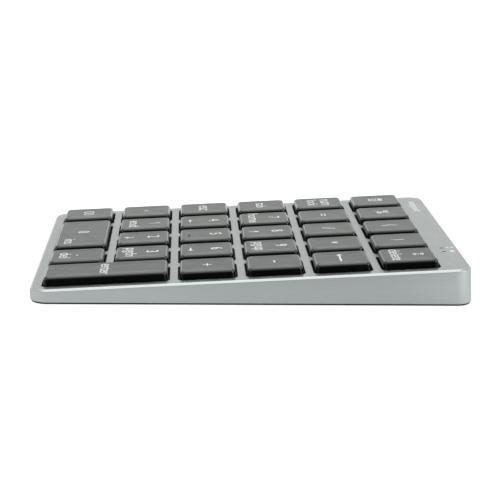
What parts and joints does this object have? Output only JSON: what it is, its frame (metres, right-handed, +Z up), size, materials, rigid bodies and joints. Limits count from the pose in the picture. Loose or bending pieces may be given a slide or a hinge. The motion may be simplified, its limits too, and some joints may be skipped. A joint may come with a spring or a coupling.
{
  "type": "numeric keypad",
  "caption": "Low wireless numeric keypad: wedge-shaped aluminium case, black keys on a five by six grid, double zero and enter keys, rear charging socket and power switch.",
  "frame": {"origin": "on the surface it stands on, under the middle of the case", "axes": "+X to the user's right, +Y to the rear, +Z up"},
  "size_m": [0.0996, 0.1238, 0.0131],
  "materials": {
    "case_aluminium": "fine bead-blasted anodised, polished chamfer",
    "cover_plastic": "fine moulded grain",
    "keycap_plastic": "smooth satin black with pale printed legends",
    "sheet_steel": "plain stamped",
    "spring_wire": "drawn wire",
    "screw_steel": "dark zinc",
    "membrane_film": "black-masked film with printed tracks",
    "dome_silicone": "dark silicone",
    "circuit_board": "green solder mask",
    "chip_plastic": "matte moulded",
    "battery_pouch": "soft foil pouch",
    "lead_insulation": "soft insulation",
    "socket_steel": "plated shell",
    "switch_plastic": "fine moulded grain",
    "light_pipe": "clear polished",
    "lamp": "clear over a pale die",
    "foot_rubber": "soft matte"
  },
  "bodies": {
    "root": {"battery": "battery_pouch", "battery_connector": "switch_plastic", "battery_lead": "lead_insulation", "bottom_cover": "cover_plastic", "charging_socket": "socket_steel", "circuit_board": "circuit_board", "contact_membrane": "membrane_film", "controller_chip": "chip_plastic", "dome_sheet": "dome_silicone", "foot_front_left": "foot_rubber", "foot_front_right": "foot_rubber", "foot_rear_left": "foot_rubber", "foot_rear_right": "foot_rubber", "indicator_lamp_left": "lamp", "indicator_lamp_right": "lamp", "key_backplate": "sheet_steel", "light_pipe_left": "light_pipe", "light_pipe_right": "light_pipe", "membrane_ribbon": "membrane_film", "power_switch_body": "socket_steel", "radio_module": "sheet_steel", "screw_front_left": "screw_steel", "screw_front_right": "screw_steel", "screw_middle_left": "screw_steel", "screw_middle_right": "screw_steel", "screw_rear_left": "screw_steel", "screw_rear_right": "screw_steel", "top_case": "case_aluminium"},
    "enter_stabiliser": {"enter_stabiliser": "spring_wire"},
    "key_0": {"key_0": "keycap_plastic"},
    "key_00": {"key_00": "keycap_plastic"},
    "key_1": {"key_1": "keycap_plastic"},
    "key_2": {"key_2": "keycap_plastic"},
    "key_3": {"key_3": "keycap_plastic"},
    "key_4": {"key_4": "keycap_plastic"},
    "key_5": {"key_5": "keycap_plastic"},
    "key_6": {"key_6": "keycap_plastic"},
    "key_7": {"key_7": "keycap_plastic"},
    "key_8": {"key_8": "keycap_plastic"},
    "key_9": {"key_9": "keycap_plastic"},
    "key_backspace": {"key_backspace": "keycap_plastic"},
    "key_bracket_left": {"key_bracket_left": "keycap_plastic"},
    "key_bracket_right": {"key_bracket_right": "keycap_plastic"},
    "key_calculator": {"key_calculator": "keycap_plastic"},
    "key_caret": {"key_caret": "keycap_plastic"},
    "key_delete": {"key_delete": "keycap_plastic"},
    "key_enter": {"key_enter": "keycap_plastic"},
    "key_equals": {"key_equals": "keycap_plastic"},
    "key_escape": {"key_escape": "keycap_plastic"},
    "key_minus": {"key_minus": "keycap_plastic"},
    "key_num_lock": {"key_num_lock": "keycap_plastic"},
    "key_percent": {"key_percent": "keycap_plastic"},
    "key_plus": {"key_plus": "keycap_plastic"},
    "key_point": {"key_point": "keycap_plastic"},
    "key_slash": {"key_slash": "keycap_plastic"},
    "key_star": {"key_star": "keycap_plastic"},
    "key_tab": {"key_tab": "keycap_plastic"},
    "power_switch_slider": {"power_switch_slider": "switch_plastic"},
    "zero_stabiliser": {"zero_stabiliser": "spring_wire"}
  },
  "joints": [
    {"name": "00_press", "type": "slide", "parent": "root", "child": "key_00", "axis": [0, 0.0556, -0.9985], "range_m": [0, 0.0017], "stiffness_N_per_m": 300, "springref_m": -0.0005, "deforming": ["dome_sheet"]},
    {"name": "0_press", "type": "slide", "parent": "root", "child": "key_0", "axis": [0, 0.0556, -0.9985], "range_m": [0, 0.0017], "stiffness_N_per_m": 300, "springref_m": -0.0005, "deforming": ["dome_sheet"]},
    {"name": "point_press", "type": "slide", "parent": "root", "child": "key_point", "axis": [0, 0.0556, -0.9985], "range_m": [0, 0.0017], "stiffness_N_per_m": 300, "springref_m": -0.0005, "deforming": ["dome_sheet"]},
    {"name": "enter_press", "type": "slide", "parent": "root", "child": "key_enter", "axis": [0, 0.0556, -0.9985], "range_m": [0, 0.0017], "stiffness_N_per_m": 300, "springref_m": -0.0005, "deforming": ["dome_sheet"]},
    {"name": "caret_press", "type": "slide", "parent": "root", "child": "key_caret", "axis": [0, 0.0556, -0.9985], "range_m": [0, 0.0017], "stiffness_N_per_m": 300, "springref_m": -0.0005, "deforming": ["dome_sheet"]},
    {"name": "1_press", "type": "slide", "parent": "root", "child": "key_1", "axis": [0, 0.0556, -0.9985], "range_m": [0, 0.0017], "stiffness_N_per_m": 300, "springref_m": -0.0005, "deforming": ["dome_sheet"]},
    {"name": "2_press", "type": "slide", "parent": "root", "child": "key_2", "axis": [0, 0.0556, -0.9985], "range_m": [0, 0.0017], "stiffness_N_per_m": 300, "springref_m": -0.0005, "deforming": ["dome_sheet"]},
    {"name": "3_press", "type": "slide", "parent": "root", "child": "key_3", "axis": [0, 0.0556, -0.9985], "range_m": [0, 0.0017], "stiffness_N_per_m": 300, "springref_m": -0.0005, "deforming": ["dome_sheet"]},
    {"name": "escape_press", "type": "slide", "parent": "root", "child": "key_escape", "axis": [0, 0.0556, -0.9985], "range_m": [0, 0.0017], "stiffness_N_per_m": 300, "springref_m": -0.0005, "deforming": ["dome_sheet"]},
    {"name": "4_press", "type": "slide", "parent": "root", "child": "key_4", "axis": [0, 0.0556, -0.9985], "range_m": [0, 0.0017], "stiffness_N_per_m": 300, "springref_m": -0.0005, "deforming": ["dome_sheet"]},
    {"name": "5_press", "type": "slide", "parent": "root", "child": "key_5", "axis": [0, 0.0556, -0.9985], "range_m": [0, 0.0017], "stiffness_N_per_m": 300, "springref_m": -0.0005, "deforming": ["dome_sheet"]},
    {"name": "6_press", "type": "slide", "parent": "root", "child": "key_6", "axis": [0, 0.0556, -0.9985], "range_m": [0, 0.0017], "stiffness_N_per_m": 300, "springref_m": -0.0005, "deforming": ["dome_sheet"]},
    {"name": "plus_press", "type": "slide", "parent": "root", "child": "key_plus", "axis": [0, 0.0556, -0.9985], "range_m": [0, 0.0017], "stiffness_N_per_m": 300, "springref_m": -0.0005, "deforming": ["dome_sheet"]},
    {"name": "tab_press", "type": "slide", "parent": "root", "child": "key_tab", "axis": [0, 0.0556, -0.9985], "range_m": [0, 0.0017], "stiffness_N_per_m": 300, "springref_m": -0.0005, "deforming": ["dome_sheet"]},
    {"name": "7_press", "type": "slide", "parent": "root", "child": "key_7", "axis": [0, 0.0556, -0.9985], "range_m": [0, 0.0017], "stiffness_N_per_m": 300, "springref_m": -0.0005, "deforming": ["dome_sheet"]},
    {"name": "8_press", "type": "slide", "parent": "root", "child": "key_8", "axis": [0, 0.0556, -0.9985], "range_m": [0, 0.0017], "stiffness_N_per_m": 300, "springref_m": -0.0005, "deforming": ["dome_sheet"]},
    {"name": "9_press", "type": "slide", "parent": "root", "child": "key_9", "axis": [0, 0.0556, -0.9985], "range_m": [0, 0.0017], "stiffness_N_per_m": 300, "springref_m": -0.0005, "deforming": ["dome_sheet"]},
    {"name": "minus_press", "type": "slide", "parent": "root", "child": "key_minus", "axis": [0, 0.0556, -0.9985], "range_m": [0, 0.0017], "stiffness_N_per_m": 300, "springref_m": -0.0005, "deforming": ["dome_sheet"]},
    {"name": "num_lock_press", "type": "slide", "parent": "root", "child": "key_num_lock", "axis": [0, 0.0556, -0.9985], "range_m": [0, 0.0017], "stiffness_N_per_m": 300, "springref_m": -0.0005, "deforming": ["dome_sheet"]},
    {"name": "equals_press", "type": "slide", "parent": "root", "child": "key_equals", "axis": [0, 0.0556, -0.9985], "range_m": [0, 0.0017], "stiffness_N_per_m": 300, "springref_m": -0.0005, "deforming": ["dome_sheet"]},
    {"name": "slash_press", "type": "slide", "parent": "root", "child": "key_slash", "axis": [0, 0.0556, -0.9985], "range_m": [0, 0.0017], "stiffness_N_per_m": 300, "springref_m": -0.0005, "deforming": ["dome_sheet"]},
    {"name": "star_press", "type": "slide", "parent": "root", "child": "key_star", "axis": [0, 0.0556, -0.9985], "range_m": [0, 0.0017], "stiffness_N_per_m": 300, "springref_m": -0.0005, "deforming": ["dome_sheet"]},
    {"name": "backspace_press", "type": "slide", "parent": "root", "child": "key_backspace", "axis": [0, 0.0556, -0.9985], "range_m": [0, 0.0017], "stiffness_N_per_m": 300, "springref_m": -0.0005, "deforming": ["dome_sheet"]},
    {"name": "calculator_press", "type": "slide", "parent": "root", "child": "key_calculator", "axis": [0, 0.0556, -0.9985], "range_m": [0, 0.0017], "stiffness_N_per_m": 300, "springref_m": -0.0005, "deforming": ["dome_sheet"]},
    {"name": "percent_press", "type": "slide", "parent": "root", "child": "key_percent", "axis": [0, 0.0556, -0.9985], "range_m": [0, 0.0017], "stiffness_N_per_m": 300, "springref_m": -0.0005, "deforming": ["dome_sheet"]},
    {"name": "bracket_left_press", "type": "slide", "parent": "root", "child": "key_bracket_left", "axis": [0, 0.0556, -0.9985], "range_m": [0, 0.0017], "stiffness_N_per_m": 300, "springref_m": -0.0005, "deforming": ["dome_sheet"]},
    {"name": "bracket_right_press", "type": "slide", "parent": "root", "child": "key_bracket_right", "axis": [0, 0.0556, -0.9985], "range_m": [0, 0.0017], "stiffness_N_per_m": 300, "springref_m": -0.0005, "deforming": ["dome_sheet"]},
    {"name": "delete_press", "type": "slide", "parent": "root", "child": "key_delete", "axis": [0, 0.0556, -0.9985], "range_m": [0, 0.0017], "stiffness_N_per_m": 300, "springref_m": -0.0005, "deforming": ["dome_sheet"]},
    {"name": "power_switch_slide", "type": "slide", "parent": "root", "child": "power_switch_slider", "axis": [1, 0, 0], "range_m": [0, 0.0025]},
    {"name": "enter_bar_turn", "type": "hinge", "parent": "root", "child": "enter_stabiliser", "pos_m": [0.0386, -0.04043, 0.00414], "axis": [0, 0.9985, 0.0556], "range_deg": [0, 18.81]},
    {"name": "zero_bar_turn", "type": "hinge", "parent": "root", "child": "zero_stabiliser", "pos_m": [-0.0095, -0.04932, 0.00364], "axis": [-1, 0, 0], "range_deg": [0, 18.81]}
  ],
  "couplings": [
    {"joint": "enter_bar_turn", "follows": "enter_press", "rad_per_m": 191.04},
    {"joint": "zero_bar_turn", "follows": "0_press", "rad_per_m": 191.04}
  ]
}
